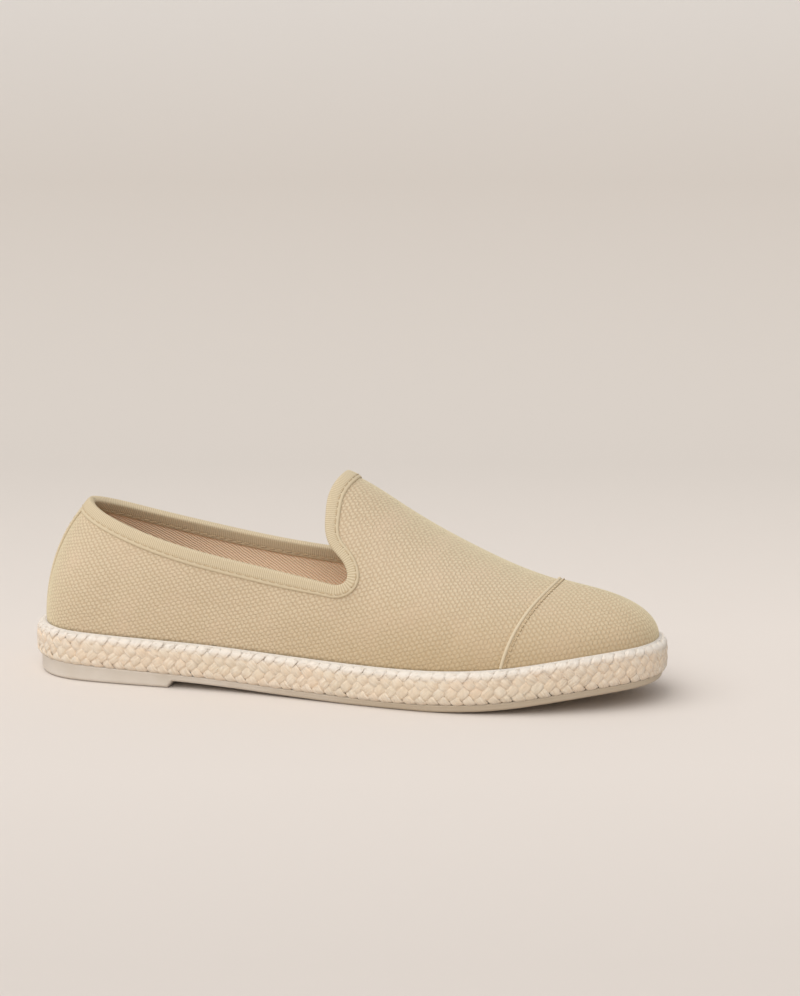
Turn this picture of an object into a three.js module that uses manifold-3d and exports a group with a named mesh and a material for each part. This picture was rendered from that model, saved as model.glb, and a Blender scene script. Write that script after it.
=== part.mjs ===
// Espadrille: a slip-on canvas shoe on a braided rope sole. Right shoe, one body.
//
// Millimetres. +X runs from heel to toe, +Y to the inner (medial) side, +Z up. The shoe is
// drawn with the back of its upper at x = 0 and is moved at the end, so that the origin lies
// on the floor under the middle of its bounding box.
//
// Everything comes from one last. Its plan is an outline of half widths about a curved axis.
// Above the outline it rises in elliptic arcs to a ridge, so a point on it is last(turn, rise):
// turn goes from 0 at the heel to PI at the toe (positive on the outer side, negative on the
// inner), and rise from 0 at the feather edge to PI / 2 on the ridge.

import * as THREE from 'three';
import { mergeVertices } from 'three/addons/utils/BufferGeometryUtils.js';
import Module from 'manifold-3d';

const wasm = await Module();
wasm.setup();

// ------------------------------------------------------------------ driving dimensions
const LENGTH = 283; // of the upper, heel to toe
const HEEL_RADIUS = 31; // plan radius at the back of the heel
const TOE_RADIUS = 38; // plan radius at the tip of the toe
const RIDGE_START = 57; // the ridge over the heel begins here
const RIDGE_END_SETBACK = 36; // and stops this far behind the toe
const PINCH = 1.1; // how strongly the collar narrows at the heel
const PINCH_FULL = 20; // behind this x fully
const PINCH_ENDS = 95; // and from this x on not at all

const WALL = 1.7; // canvas, stiffener and lining together
const GAP = 0.3; // between pieces that touch
const ROPE_RIM = 4.4; // the rope sole shows this far outside the canvas
const ROPE_BAND = 14.2; // height of the braided edge
const ROPE_ROUND = 2.2; // rounding of the braided edge
const OUTSOLE_RIM = 2.5; // the outsole stops inside the rope's edge
const OUTSOLE_THICK = 3.6; // forepart
const BREAST_FRONT = 72; // top of the heel block's slanted front face
const BREAST_RUN = 4.4; // that face leans back by this much
const INSOLE_THICK = 3;
const INSOLE_INSET = 0.9; // clear of the lining
const CAP_THICK = 0.9; // toe cap canvas
const STRIP_THICK = 0.7; // heel tape
const STRIP_HALF_WIDTH = 5.2;
const STRIP_TOP = 71.8; // the tape ends just under the binding
const BIND_THICK = 0.8; // grosgrain
const BIND_OUTSIDE = 6.1; // how far the binding reaches down outside
const BIND_INSIDE = 6.3; // and inside
const BIND_PULL = 1.8; // the outside leg is drawn in by this round the throat
const BIND_PULL_REACH = 18; // fading out over this distance

// Plan of the upper: 'at' is the fraction of the length, 'axis' the shift of the middle line
// towards the inner side, 'half' the half width.
const PLAN = [
  { at: 0.05, axis: 0.0, half: 26.0 },
  { at: 0.12, axis: 0.0, half: 31.0 },
  { at: 0.2, axis: -0.5, half: 31.8 },
  { at: 0.3, axis: -1.5, half: 31.5 },
  { at: 0.4, axis: -2.0, half: 33.0 },
  { at: 0.5, axis: -1.5, half: 37.5 },
  { at: 0.6, axis: 0.0, half: 43.0 },
  { at: 0.7, axis: 1.5, half: 46.5 },
  { at: 0.8, axis: 3.0, half: 44.2 },
  { at: 0.9, axis: 4.5, half: 34.6 },
  { at: 0.96, axis: 5.0, half: 23.2 },
];

// Side view: 'under' is the height of the rope sole's bottom (heel, arch, ball, toe spring),
// 'crown' the height of the ridge above the rope sole's top.
const SIDE = [
  { at: 0.0, under: 8.6, crown: 70.5 },
  { at: 0.15, under: 7.4, crown: 74 },
  { at: 0.3, under: 6.2, crown: 76.5 },
  { at: 0.42, under: 4.6, crown: 79 },
  { at: 0.5, under: 3.9, crown: 77.9 },
  { at: 0.6, under: 3.4, crown: 62.6 },
  { at: 0.7, under: 3.8, crown: 46.5 },
  { at: 0.8, under: 5.9, crown: 32.8 },
  { at: 0.9, under: 9.8, crown: 23.4 },
  { at: 1.0, under: 12.4, crown: 19 },
];

// Opening, seen from the side at the middle of the shoe: the edge falls from the heel to the
// corner by the instep, turns up round it and climbs the front of the throat to the tip over
// the instep. The whole edge rises by OPENING_TILT for each millimetre to the inner side.
const OPENING_START = [0, 88.5];
const OPENING_BENDS = [
  { from: [39, 64], to: [109, 57.7], end: [146, 51.7] },
  { from: [149.5, 51.1], to: [156.5, 53], end: [153, 60] },
  { from: [149.4, 67.2], to: [142, 66.6], end: [141, 79.5] },
  { from: [140.5, 86], to: [138.5, 92.5], end: [147, 99.5] },
];
const OPENING_CORNER = [150, 62];
const OPENING_TILT = 0.024;

// Front edge of the toe cap, seen from the side: it runs back as it goes down.
const CAP_EDGE = { start: [221.7, 14], control: [229, 55.5], end: [254.3, 56] };

const TURNS = 88; // steps round the outline
const RISES = 12; // steps from feather edge to ridge
const BIND_STEPS = 104; // steps along the binding

// ------------------------------------------------------------------ interpolation
// Natural cubic spline through (xs, ys), with straight ends.
function spline(xs, ys) {
  const last = xs.length - 1;
  const bend = new Array(last + 1).fill(0);
  const carry = new Array(last + 1).fill(0);
  for (let i = 1; i < last; i++) {
    const before = xs[i] - xs[i - 1];
    const after = xs[i + 1] - xs[i];
    const jump = (ys[i + 1] - ys[i]) / after - (ys[i] - ys[i - 1]) / before;
    const pivot = 2 * (before + after) - before * carry[i - 1];
    carry[i] = after / pivot;
    bend[i] = (6 * jump - before * bend[i - 1]) / pivot;
  }
  for (let i = last - 1; i > 0; i--) bend[i] -= carry[i] * bend[i + 1];
  return (x) => {
    const at = Math.min(Math.max(x, xs[0]), xs[last]);
    let i = 0;
    while (i < last - 1 && at > xs[i + 1]) i++;
    const step = xs[i + 1] - xs[i];
    const a = (xs[i + 1] - at) / step;
    const b = (at - xs[i]) / step;
    const curve = ((a ** 3 - a) * bend[i] + (b ** 3 - b) * bend[i + 1]) * (step ** 2) / 6;
    return a * ys[i] + b * ys[i + 1] + curve;
  };
}

// ------------------------------------------------------------------ the last
const planTurns = PLAN.map((row) => Math.acos(1 - 2 * row.at));
const fullness = spline(
  [0, ...planTurns, Math.PI],
  [
    Math.sqrt((HEEL_RADIUS * LENGTH) / 2),
    ...PLAN.map((row, i) => row.half / Math.sin(planTurns[i])),
    Math.sqrt((TOE_RADIUS * LENGTH) / 2),
  ],
);
const axis = spline(PLAN.map((row) => row.at * LENGTH), PLAN.map((row) => row.axis));
const under = spline(SIDE.map((row) => row.at * LENGTH), SIDE.map((row) => row.under));
const crown = spline(SIDE.map((row) => row.at * LENGTH), SIDE.map((row) => row.crown));
const seat = (x) => under(x) + ROPE_BAND;

function outlineAt(turn) {
  const x = (LENGTH / 2) * (1 - Math.cos(turn));
  return [x, axis(x) - fullness(Math.abs(turn)) * Math.sin(turn)];
}

// The outline, moved outwards by 'out'.
function outline(turn, out = 0) {
  const [x, y] = outlineAt(turn);
  if (out === 0) return [x, y];
  const step = 1e-3;
  const [xBefore, yBefore] = outlineAt(turn - step);
  const [xAfter, yAfter] = outlineAt(turn + step);
  const length = Math.hypot(xAfter - xBefore, yAfter - yBefore);
  return [x + (out * (yAfter - yBefore)) / length, y - (out * (xAfter - xBefore)) / length];
}

// A point of the last, or of the same form made larger by 'out'.
function last(turn, rise, out = 0) {
  const [xFoot, yFoot] = outline(turn, out);
  const along = (1 - Math.cos(turn)) / 2;
  const xRidge = RIDGE_START + (LENGTH - RIDGE_END_SETBACK - RIDGE_START) * along;
  const inward = 1 - Math.cos(rise);
  const x = xFoot + (xRidge - xFoot) * inward;
  const y = yFoot + (axis(xRidge) - yFoot) * inward;
  const squeeze = 1 - PINCH * inward * (1 - THREE.MathUtils.smoothstep(x, PINCH_FULL, PINCH_ENDS));
  const z = seat(x) + GAP + (crown(x) + out) * Math.sin(rise);
  return new THREE.Vector3(x, axis(x) + (y - axis(x)) * squeeze, z);
}

// Turn and rise of the last's point at x and z, on its outer side (1) or its inner side (-1).
// 'outside' tells that there is none: the place lies behind the heel or above the ridge.
function findOnLast(x, z, side) {
  const share = (z - seat(x) - GAP) / crown(x);
  const rise = Math.asin(Math.min(1, share));
  const inward = 1 - Math.cos(rise);
  const stretch = (LENGTH - RIDGE_END_SETBACK - RIDGE_START) / LENGTH;
  const xFoot = (x - RIDGE_START * inward) / (1 - inward + stretch * inward);
  const along = Math.min(1, Math.max(-1, 1 - (2 * xFoot) / LENGTH));
  return { turn: side * Math.acos(along), rise, outside: share > 1 || xFoot < 0 };
}

function normalAt(turn, rise) {
  const step = 1e-3;
  const across = last(turn + step, rise).sub(last(turn - step, rise));
  const upward = last(turn, rise + step).sub(last(turn, rise - step));
  return across.cross(upward).normalize();
}

// ------------------------------------------------------------------ solids
// Closed solid from rings of equally many points, each running round the shoe from the heel.
// The first ring is closed underneath; the last one is closed on top unless it is a ridge,
// whose two sides already coincide.
function ringSolid(rings, endsInRidge = false) {
  const count = rings[0].length;
  const positions = rings.flat().flatMap((point) => [point.x, point.y, point.z]);
  const faces = [];
  const quad = (a, b, c, d) => faces.push(a, b, c, a, c, d);
  for (let level = 0; level < rings.length - 1; level++) {
    for (let i = 0; i < count; i++) {
      const next = (i + 1) % count;
      quad(level * count + i, level * count + next, (level + 1) * count + next, (level + 1) * count + i);
    }
  }
  const top = (rings.length - 1) * count;
  for (let i = 0; i < count / 2; i++) {
    const across = (count - i) % count;
    const acrossNext = count - i - 1;
    quad(i, across, acrossNext, i + 1);
    if (!endsInRidge) quad(top + i, top + i + 1, top + acrossNext, top + across);
  }
  return tidy(positions, faces);
}

// Merges equal points and leaves out the faces that this closes up.
function tidy(positions, faces) {
  const raw = new THREE.BufferGeometry();
  raw.setAttribute('position', new THREE.Float32BufferAttribute(positions, 3));
  raw.setIndex(faces);
  const merged = mergeVertices(raw, 1e-4);
  const index = merged.getIndex().array;
  const kept = [];
  for (let i = 0; i < index.length; i += 3) {
    const [a, b, c] = [index[i], index[i + 1], index[i + 2]];
    if (a !== b && b !== c && c !== a) kept.push(a, b, c);
  }
  merged.setIndex(kept);
  return merged;
}

const turns = Array.from({ length: TURNS }, (_, i) => (2 * Math.PI * i) / TURNS);
const signedTurn = (turn) => (turn > Math.PI ? turn - 2 * Math.PI : turn);

// A level ring: the outline moved out by 'out', at the height that 'heightAt' gives for x.
function ring(out, heightAt, around = turns) {
  return around.map((turn) => {
    const [x, y] = outline(signedTurn(turn), out);
    return new THREE.Vector3(x, y, heightAt(x));
  });
}

// The last made larger by 'out', standing on the rope sole or reaching 'deeper' below its top.
function lastSolid(out, deeper = 0) {
  const rings = [];
  if (deeper > 0) rings.push(ring(out, (x) => seat(x) - deeper));
  for (let level = 0; level <= RISES; level++) {
    const rise = ((Math.PI / 2) * level) / RISES;
    rings.push(turns.map((turn) => last(signedTurn(turn), rise, out)));
  }
  return ringSolid(rings, true);
}

function toManifold(geometry) {
  const plain = new THREE.BufferGeometry();
  plain.setAttribute('position', geometry.getAttribute('position'));
  if (geometry.getIndex()) plain.setIndex(geometry.getIndex());
  const merged = mergeVertices(plain, 1e-4);
  return new wasm.Manifold(new wasm.Mesh({
    numProp: 3,
    vertProperties: new Float32Array(merged.getAttribute('position').array),
    triVerts: new Uint32Array(merged.getIndex().array),
  }));
}

function toGeometry(solid) {
  const mesh = solid.getMesh();
  const geometry = new THREE.BufferGeometry();
  geometry.setAttribute('position', new THREE.BufferAttribute(mesh.vertProperties, 3));
  geometry.setIndex(new THREE.BufferAttribute(mesh.triVerts, 1));
  return geometry;
}

// A side-view outline drawn in x and z, made into a solid right across the shoe, which rises
// by 'tilt' for each millimetre to the inner side.
function acrossShoe(shape, tilt = 0, halfWidth = 80) {
  const geometry = new THREE.ExtrudeGeometry(shape, {
    depth: 2 * halfWidth,
    bevelEnabled: false,
    curveSegments: 14,
  });
  geometry.rotateX(Math.PI / 2);
  geometry.translate(0, halfWidth, 0);
  geometry.applyMatrix4(new THREE.Matrix4().set(1, 0, 0, 0, 0, 1, 0, 0, 0, tilt, 1, 0, 0, 0, 0, 1));
  return toManifold(geometry);
}

// ------------------------------------------------------------------ the opening
function openingPath() {
  const path = new THREE.Path();
  path.moveTo(...OPENING_START);
  for (const bend of OPENING_BENDS) path.bezierCurveTo(...bend.from, ...bend.to, ...bend.end);
  return path;
}

// The edge's point at a share of the path's length, on one side of the shoe: its place and
// slope in the side view, and its place on the last.
function edgeStop(path, share, side) {
  const { x, y: z } = path.getPointAt(share);
  let found = findOnLast(x, z, side);
  for (let i = 0; i < 8; i++) {
    found = findOnLast(x, z + OPENING_TILT * last(found.turn, found.rise).y, side);
  }
  const { turn, rise, outside } = found;
  return { share, x, z, turn, rise, outside, slope: path.getTangentAt(share) };
}

// Share of the path's length at which it crosses the middle line: behind the heel, where the
// path starts outside the last, or over the ridge, where it ends outside.
function crossing(path, low, high, outsideLow) {
  for (let i = 0; i < 50; i++) {
    const middle = (low + high) / 2;
    if (edgeStop(path, middle, 1).outside === outsideLow) low = middle;
    else high = middle;
  }
  return (low + high) / 2;
}

// The edge of the opening on the outer side, from heel to tip, at even steps along the canvas.
function openingEdge(path, steps) {
  const start = crossing(path, 0, 0.3, true);
  const end = crossing(path, 0.75, 1, false);
  const fine = Array.from({ length: 401 }, (_, i) => {
    const share = start + ((end - start) * (1 - Math.cos((Math.PI * i) / 400))) / 2;
    return { ...edgeStop(path, share, 1), run: 0 };
  });
  for (let i = 1; i < fine.length; i++) {
    const before = fine[i - 1];
    const step = last(fine[i].turn, fine[i].rise).distanceTo(last(before.turn, before.rise));
    fine[i].run = before.run + step;
  }
  return Array.from({ length: steps + 1 }, (_, k) => {
    const run = (fine.at(-1).run * k) / steps;
    return fine.reduce((best, stop) => (Math.abs(stop.run - run) < Math.abs(best.run - run) ? stop : best));
  });
}

const opening = openingPath();
const edge = openingEdge(opening, BIND_STEPS / 2);

// What the opening takes away: everything above its edge in the side view.
function openingCutter() {
  const shape = new THREE.Shape();
  const far = 40;
  const [first, final] = [edge[0], edge.at(-1)];
  shape.moveTo(first.x - far, first.z - (far * first.slope.y) / first.slope.x);
  for (const { x, z } of edge) shape.lineTo(x, z);
  shape.lineTo(final.x + (far * final.slope.x) / final.slope.y, final.z + far);
  shape.lineTo(first.x - far, final.z + far);
  return acrossShoe(shape, OPENING_TILT);
}

// Nearest point of the last to 'target', as turn and rise, from a first guess.
function nearestOnLast(target, guess) {
  let { turn, rise } = guess;
  const step = 1e-4;
  for (let i = 0; i < 6; i++) {
    const here = last(turn, rise);
    const byTurn = last(turn + step, rise).sub(here).divideScalar(step);
    const byRise = last(turn, rise + step).sub(here).divideScalar(step);
    const miss = target.clone().sub(here);
    const tt = byTurn.dot(byTurn);
    const tr = byTurn.dot(byRise);
    const rr = byRise.dot(byRise);
    const determinant = tt * rr - tr * tr;
    turn += (rr * miss.dot(byTurn) - tr * miss.dot(byRise)) / determinant;
    rise += (tt * miss.dot(byRise) - tr * miss.dot(byTurn)) / determinant;
  }
  return { turn, rise };
}

// ------------------------------------------------------------------ the pieces
function makeUpper() {
  const outer = toManifold(lastSolid(0));
  const inner = toManifold(lastSolid(-WALL, 3));
  return toGeometry(outer.subtract(inner).subtract(openingCutter()));
}

function makeToeCap() {
  const shape = new THREE.Shape();
  shape.moveTo(...CAP_EDGE.start);
  shape.quadraticCurveTo(...CAP_EDGE.control, ...CAP_EDGE.end);
  shape.lineTo(320, CAP_EDGE.end[1]);
  shape.lineTo(320, CAP_EDGE.start[1]);
  const layer = toManifold(lastSolid(GAP + CAP_THICK)).subtract(toManifold(lastSolid(GAP, 3)));
  return toGeometry(layer.intersect(acrossShoe(shape)));
}

function makeBackStrip() {
  const tape = new THREE.BoxGeometry(60, 2 * STRIP_HALF_WIDTH, STRIP_TOP);
  tape.translate(0, 0, STRIP_TOP / 2);
  const layer = toManifold(lastSolid(GAP + STRIP_THICK)).subtract(toManifold(lastSolid(GAP, 3)));
  return toGeometry(layer.intersect(toManifold(tape)));
}

// Folded tape round the edge of the opening: a U whose legs lie along the canvas. The canvas is
// cut across the shoe, so on its leaning sides the cut's inner rim lies 'lip' higher.
function makeBinding() {
  const innerSide = edge.slice(1, -1).reverse().map((stop) => edgeStop(opening, stop.share, -1));
  const stops = [...edge, ...innerSide].map((stop) => ({ ...stop, point: last(stop.turn, stop.rise) }));
  const sections = stops.map((stop, i) => {
    const before = stops.at(i - 1).point;
    const after = stops[(i + 1) % stops.length].point;
    const along = after.clone().sub(before).normalize();
    const out = normalAt(stop.turn, stop.rise);
    const down = along.clone().cross(out).normalize();
    const cutFace = new THREE.Vector3(-stop.slope.y, -stop.slope.x * OPENING_TILT, stop.slope.x);
    const cut = cutFace.cross(along).normalize();
    const lip = -Math.abs((WALL * cut.dot(down)) / cut.dot(out));
    const at = (depth, proud) => {
      if (depth <= 0) return stop.point.clone().addScaledVector(down, depth).addScaledVector(out, proud);
      const foot = nearestOnLast(stop.point.clone().addScaledVector(down, depth), stop);
      return last(foot.turn, foot.rise).addScaledVector(normalAt(foot.turn, foot.rise), proud);
    };
    const fromCorner = Math.hypot(stop.x - OPENING_CORNER[0], stop.z - OPENING_CORNER[1]);
    const outerLeg = BIND_OUTSIDE - BIND_PULL * Math.exp(-((fromCorner / BIND_PULL_REACH) ** 2));
    const inside = -WALL - GAP;
    return [
      at(outerLeg, GAP),
      at(outerLeg, GAP + BIND_THICK),
      at(0, GAP + BIND_THICK),
      at(-GAP - BIND_THICK, 0),
      at(lip - GAP - BIND_THICK, -WALL),
      at(lip, inside - BIND_THICK),
      at(BIND_INSIDE, inside - BIND_THICK),
      at(BIND_INSIDE, inside),
      at(lip - GAP, inside),
      at(-GAP, GAP),
    ];
  });
  const size = sections[0].length;
  const positions = sections.flat().flatMap((point) => [point.x, point.y, point.z]);
  const faces = [];
  for (let i = 0; i < sections.length; i++) {
    const next = (i + 1) % sections.length;
    for (let k = 0; k < size; k++) {
      const after = (k + 1) % size;
      const [a, b, c, d] = [i * size + k, next * size + k, next * size + after, i * size + after];
      faces.push(a, b, c, a, c, d);
    }
  }
  return tidy(positions, faces);
}

function makeInsole() {
  const out = -WALL - INSOLE_INSET;
  return ringSolid([
    ring(out, (x) => seat(x) + GAP),
    ring(out, (x) => seat(x) + GAP + INSOLE_THICK * 0.6),
    ring(out - 1.2, (x) => seat(x) + GAP + INSOLE_THICK),
  ]);
}

// The rope sole: full depth, with a rounded edge that bulges past the canvas.
function makeMidsole() {
  const lift = (from, share) => (x) => from(x) + ROPE_BAND * share;
  return ringSolid([
    ring(ROPE_RIM - ROPE_ROUND, under),
    ring(ROPE_RIM - ROPE_ROUND * 0.3, lift(under, 0.1)),
    ring(ROPE_RIM, lift(under, 0.3)),
    ring(ROPE_RIM, lift(under, 0.7)),
    ring(ROPE_RIM - ROPE_ROUND * 0.3, lift(under, 0.9)),
    ring(ROPE_RIM - ROPE_ROUND, seat),
  ]);
}

// Thin forepart and a heel block in one moulding. The block's front face leans back.
function makeOutsole() {
  const turnAt = (x) => Math.acos(1 - (2 * x) / LENGTH);
  const breast = [BREAST_FRONT - BREAST_RUN, BREAST_FRONT].map(turnAt);
  const halfRound = turns.filter((turn) => turn <= Math.PI + 1e-9)
    .filter((turn) => breast.every((edge) => Math.abs(turn - edge) > 0.03));
  const half = [...halfRound, ...breast].sort((a, b) => a - b);
  const around = [...half, ...half.slice(1, -1).reverse().map((turn) => 2 * Math.PI - turn)];
  const blockEnd = BREAST_FRONT - BREAST_RUN / 2;
  const floorAt = (turn, x) => {
    const xStation = (LENGTH / 2) * (1 - Math.cos(turn));
    return xStation < blockEnd ? 0 : Math.max(0, under(x) - OUTSOLE_THICK);
  };
  const level = (out, heightAt) => around.map((turn) => {
    const [x, y] = outline(signedTurn(turn), out);
    return new THREE.Vector3(x, y, heightAt(turn, x));
  });
  return ringSolid([
    level(OUTSOLE_RIM - 1.2, floorAt),
    level(OUTSOLE_RIM, (turn, x) => floorAt(turn, x) + 1),
    level(OUTSOLE_RIM, (turn, x) => under(x) - GAP),
  ]);
}

const pieces = [
  { name: 'outsole', make: makeOutsole, color: 0xb9b4a6, roughness: 0.6 },
  { name: 'midsole', make: makeMidsole, color: 0xe6d5b8, roughness: 0.95 },
  { name: 'insole', make: makeInsole, color: 0xd9b79a, roughness: 0.95 },
  { name: 'upper', make: makeUpper, color: 0xc5b490, roughness: 0.9 },
  { name: 'toe_cap', make: makeToeCap, color: 0xc8b793, roughness: 0.9 },
  { name: 'back_strip', make: makeBackStrip, color: 0xc0ae88, roughness: 0.85 },
  { name: 'topline_binding', make: makeBinding, color: 0xbdb08a, roughness: 0.8 },
];

const espadrille = new THREE.Group();
for (const { name, make, color, roughness } of pieces) {
  const mesh = new THREE.Mesh(make(), new THREE.MeshStandardMaterial({ color, roughness, metalness: 0 }));
  mesh.name = name;
  espadrille.add(mesh);
}
const extent = new THREE.Box3().setFromObject(espadrille);
const middle = extent.getCenter(new THREE.Vector3());
espadrille.position.set(-middle.x, -middle.y, -extent.min.z);

export default espadrille;
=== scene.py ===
"""Espadrille: the looks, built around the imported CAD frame.

A slip-on canvas shoe on a plaited rope sole, right shoe, seen from its outer side. Sizes are in
millimetres, with the back of the upper at x = 0, as in the part's own source; in_metres() takes
points to the row frame. The last is the part's own: last(turn, rise), with turn from 0 at the
heel to PI at the toe (positive on the outer side) and rise from 0 at the feather edge to PI / 2
on the ridge.
"""

import math

import bpy
import numpy as np
from mathutils import Matrix, Vector


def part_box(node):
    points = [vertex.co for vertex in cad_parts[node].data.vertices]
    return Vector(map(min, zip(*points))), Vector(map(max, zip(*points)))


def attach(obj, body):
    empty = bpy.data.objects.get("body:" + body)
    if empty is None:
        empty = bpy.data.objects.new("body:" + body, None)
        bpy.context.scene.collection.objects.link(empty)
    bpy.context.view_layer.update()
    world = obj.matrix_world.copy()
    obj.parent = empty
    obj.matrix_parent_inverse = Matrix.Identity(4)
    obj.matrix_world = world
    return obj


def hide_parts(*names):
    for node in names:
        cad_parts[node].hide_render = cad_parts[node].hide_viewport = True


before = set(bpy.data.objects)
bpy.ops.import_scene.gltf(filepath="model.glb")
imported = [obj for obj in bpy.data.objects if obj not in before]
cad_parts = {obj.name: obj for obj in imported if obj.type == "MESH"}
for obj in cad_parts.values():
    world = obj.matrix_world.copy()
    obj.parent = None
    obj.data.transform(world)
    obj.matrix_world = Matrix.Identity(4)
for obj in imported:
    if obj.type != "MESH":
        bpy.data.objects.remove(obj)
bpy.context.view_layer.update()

MM = 0.001
BODY = "root"

# ------------------------------------------------------------------ the shoe's own sizes
LENGTH = 283.0
HEEL_RADIUS = 31.0
TOE_RADIUS = 38.0
RIDGE_START = 57.0
RIDGE_RUN = 190.0  # the ridge's length in plan
PINCH = 1.1  # the back of the collar is narrowed, from here ...
PINCH_FULL = 20.0
PINCH_ENDS = 95.0  # ... to here
WALL = 1.7
GAP = 0.3
ROPE_RIM = 4.4
ROPE_BAND = 14.2
OUTSOLE_RIM = 2.5
OUTSOLE_THICK = 3.6
BREAST_FRONT = 72.0
BREAST_RUN = 4.4
INSOLE_THICK = 3.0
INSOLE_INSET = 0.3
STRIP_THICK = 0.7
STRIP_HALF_WIDTH = 5.2
STRIP_TOP = 71.8
BIND_THICK = 0.8
BIND_OUTSIDE = 6.1
BIND_INSIDE = 6.3
BIND_PULL = 1.8  # the outside leg is drawn in by this round the throat
BIND_PULL_REACH = 18.0
CAD_TURNS = 88

# Plan of the upper: fraction of the length, shift of the middle line, half width.
PLAN = [
    (0.05, 0.0, 26.0),
    (0.12, 0.0, 31.0),
    (0.2, -0.5, 31.8),
    (0.3, -1.5, 31.5),
    (0.4, -2.0, 33.0),
    (0.5, -1.5, 37.5),
    (0.6, 0.0, 43.0),
    (0.7, 1.5, 46.5),
    (0.8, 3.0, 44.2),
    (0.9, 4.5, 34.6),
    (0.96, 5.0, 23.2),
]

# Side view: fraction of the length, height of the rope sole's bottom, and of the ridge above
# the rope sole's top.
SIDE = [
    (0.0, 8.6, 70.5),
    (0.15, 7.4, 74.0),
    (0.3, 6.2, 76.5),
    (0.42, 4.6, 79.0),
    (0.5, 3.9, 77.9),
    (0.6, 3.4, 62.6),
    (0.7, 3.8, 46.5),
    (0.8, 5.9, 32.8),
    (0.9, 9.8, 23.4),
    (1.0, 12.4, 19.0),
]

# The opening's edge in the side view (x, z) at the middle of the shoe: a start and four cubic
# bends, each with two control points and an end. The whole edge rises by OPENING_TILT for each
# millimetre to the inner side.
OPENING_START = (0, 88.5)
OPENING_BENDS = [
    ((39, 64), (109, 57.7), (146, 51.7)),
    ((149.5, 51.1), (156.5, 53), (153, 60)),
    ((149.4, 67.2), (142, 66.6), (141, 79.5)),
    ((140.5, 86), (138.5, 92.5), (147, 99.5)),
]
OPENING_CORNER = (150, 62)
OPENING_TILT = 0.024
CAP_EDGE = [(221.7, 14), (229, 55.5), (254.3, 56)]  # start, control point and end

# ------------------------------------------------------------------ sizes of the finish
# Soft troughs (negative) and swells of the canvas: side (1 outer, -1 inner), x, z, half length,
# half width, degrees its length climbs towards the toe, depth.
SOFT_FOLDS = [
    (1, 24, 44, 17, 10, 62, 0.35),
    (1, 43, 42, 20, 6, 58, -0.45),
    (1, 84, 38, 26, 5.5, -8, -0.4),
    (1, 118, 33, 24, 6, 10, 0.3),
    (1, 158, 44, 20, 5, 48, -0.5),
    (1, 181, 42, 17, 6, 55, 0.3),
    (1, 203, 34, 16, 4.5, 60, -0.4),
    (-1, 40, 43, 20, 7, 55, -0.45),
    (-1, 92, 37, 28, 6, -5, -0.45),
    (-1, 160, 44, 20, 5.5, 46, -0.5),
    (-1, 200, 34, 16, 5, 58, -0.4),
]
WEAVE_ALONG = 2.12  # from one pebble of the canvas to the next in a row
WEAVE_ROW = 1.72  # from row to row
ROW_SLANT = 0.3  # the rows climb towards the toe by this slope ...
SLANT_ENDS = (20.0, 110.0)  # ... which is lost between these distances ahead of the middle
ROW_CLOSE = 0.93  # rows lie closer at the heel and wider at the toe than WEAVE_ROW
ROW_WIDE = 1.12

CAP_FOLD_AT = 0.45  # the cap's turned-in edge stands up in a roll, this far in
CAP_FOLD_WIDTH = 0.7  # half its width
CAP_FOLD_HIGH = 0.95
CAP_PROUD = 0.75  # the cap's face above the canvas
CAP_LAYER = 0.4
CAP_FROM = 2.05  # the turn where the cap's grid starts, behind its edge
CAP_STITCH_AT = 2.3  # from the edge to the row of stitches
CAP_STITCH_PITCH = 2.45
CAP_CHANNEL = 0.1  # the stitches draw the cap in by this
CAP_CHANNEL_WIDTH = 0.6
CAP_EASE = (-0.1, 0.35)  # the cap's face comes up from the canvas between these, from its edge
CAP_CLOTH_SHIFT = (0.9, 0.5, 0)  # the second layer's weave doesn't meet the first's
STRIP_LAYER = STRIP_THICK - 0.1
STRIP_EASE = (-0.05, 0.45)
STRIP_SEAM_AT = 1.1  # from the heel tape's edges to its seams, which draw it in
STRIP_SEAM_WIDTH = 0.3
STRIP_BEAD = 0.12  # it stands up by this between edge and seam
STRIP_BEAD_AT = 0.6
STRIP_BEAD_WIDTH = math.sqrt(0.5)

# The binding's legs as (share of the leg's depth, thickness): the ribbed face, then the plain
# selvedge beyond the row of stitches.
BIND_FACE = [(0.0, 0.78), (0.1, 0.82), (0.25, 0.8), (0.45, 0.76), (0.6, 0.72), (0.66, 0.6)]
BIND_FACE += [(0.7, 0.48)]
BIND_LIP = [(0.74, 0.5), (0.79, 0.56), (0.88, 0.52), (0.95, 0.38), (0.99, 0.05)]
BIND_SEAM = 0.7
FOLD_ROUND = 0.7  # below 1 the fold over the edge is squarer than a half circle
FOLD_DEPTH = 1.0  # the tape's hidden side: this far below the edge ...
FOLD_CLEAR = 0.25  # ... it keeps this far off the canvas
RIB_PITCH = 0.95  # ribs of the binding tape
RIB_STATIONS = 4
RIB_HEIGHT = 0.045
EDGE_SUNK = 0.05  # edges of tape and cap meet the canvas, this far above its surface
STITCH_PITCH = 4.0
STITCH_SHARE = 0.72  # of the pitch is thread
STITCH_SUNK = 0.12
STITCH_STRAY = 0.12
HOLE_WIDER = 1.35  # a needle hole against its thread

PLAIT_PITCHES = 125  # strands seen in one row round the shoe
PLAIT_ROW_AT = (0.12, 0.37, 0.62, 0.88)  # shares of the plait's section, from the bottom
LEAF_LENGTH = 8.0
LEAF_HALF_WIDTH = 2.3
LEAF_HALF_THICK = 0.8
LEAF_SLOPE = 43.0  # degrees
LEAF_ARCH = 1.9  # a strand rises from under its neighbours like this much of a cosine ...
LEAF_BEND = 1.35  # ... to either side of its top ...
LEAF_DIP = 0.62  # ... lowered by this share
LEAF_TOP_ROW = 0.6  # the top row is flatter
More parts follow.
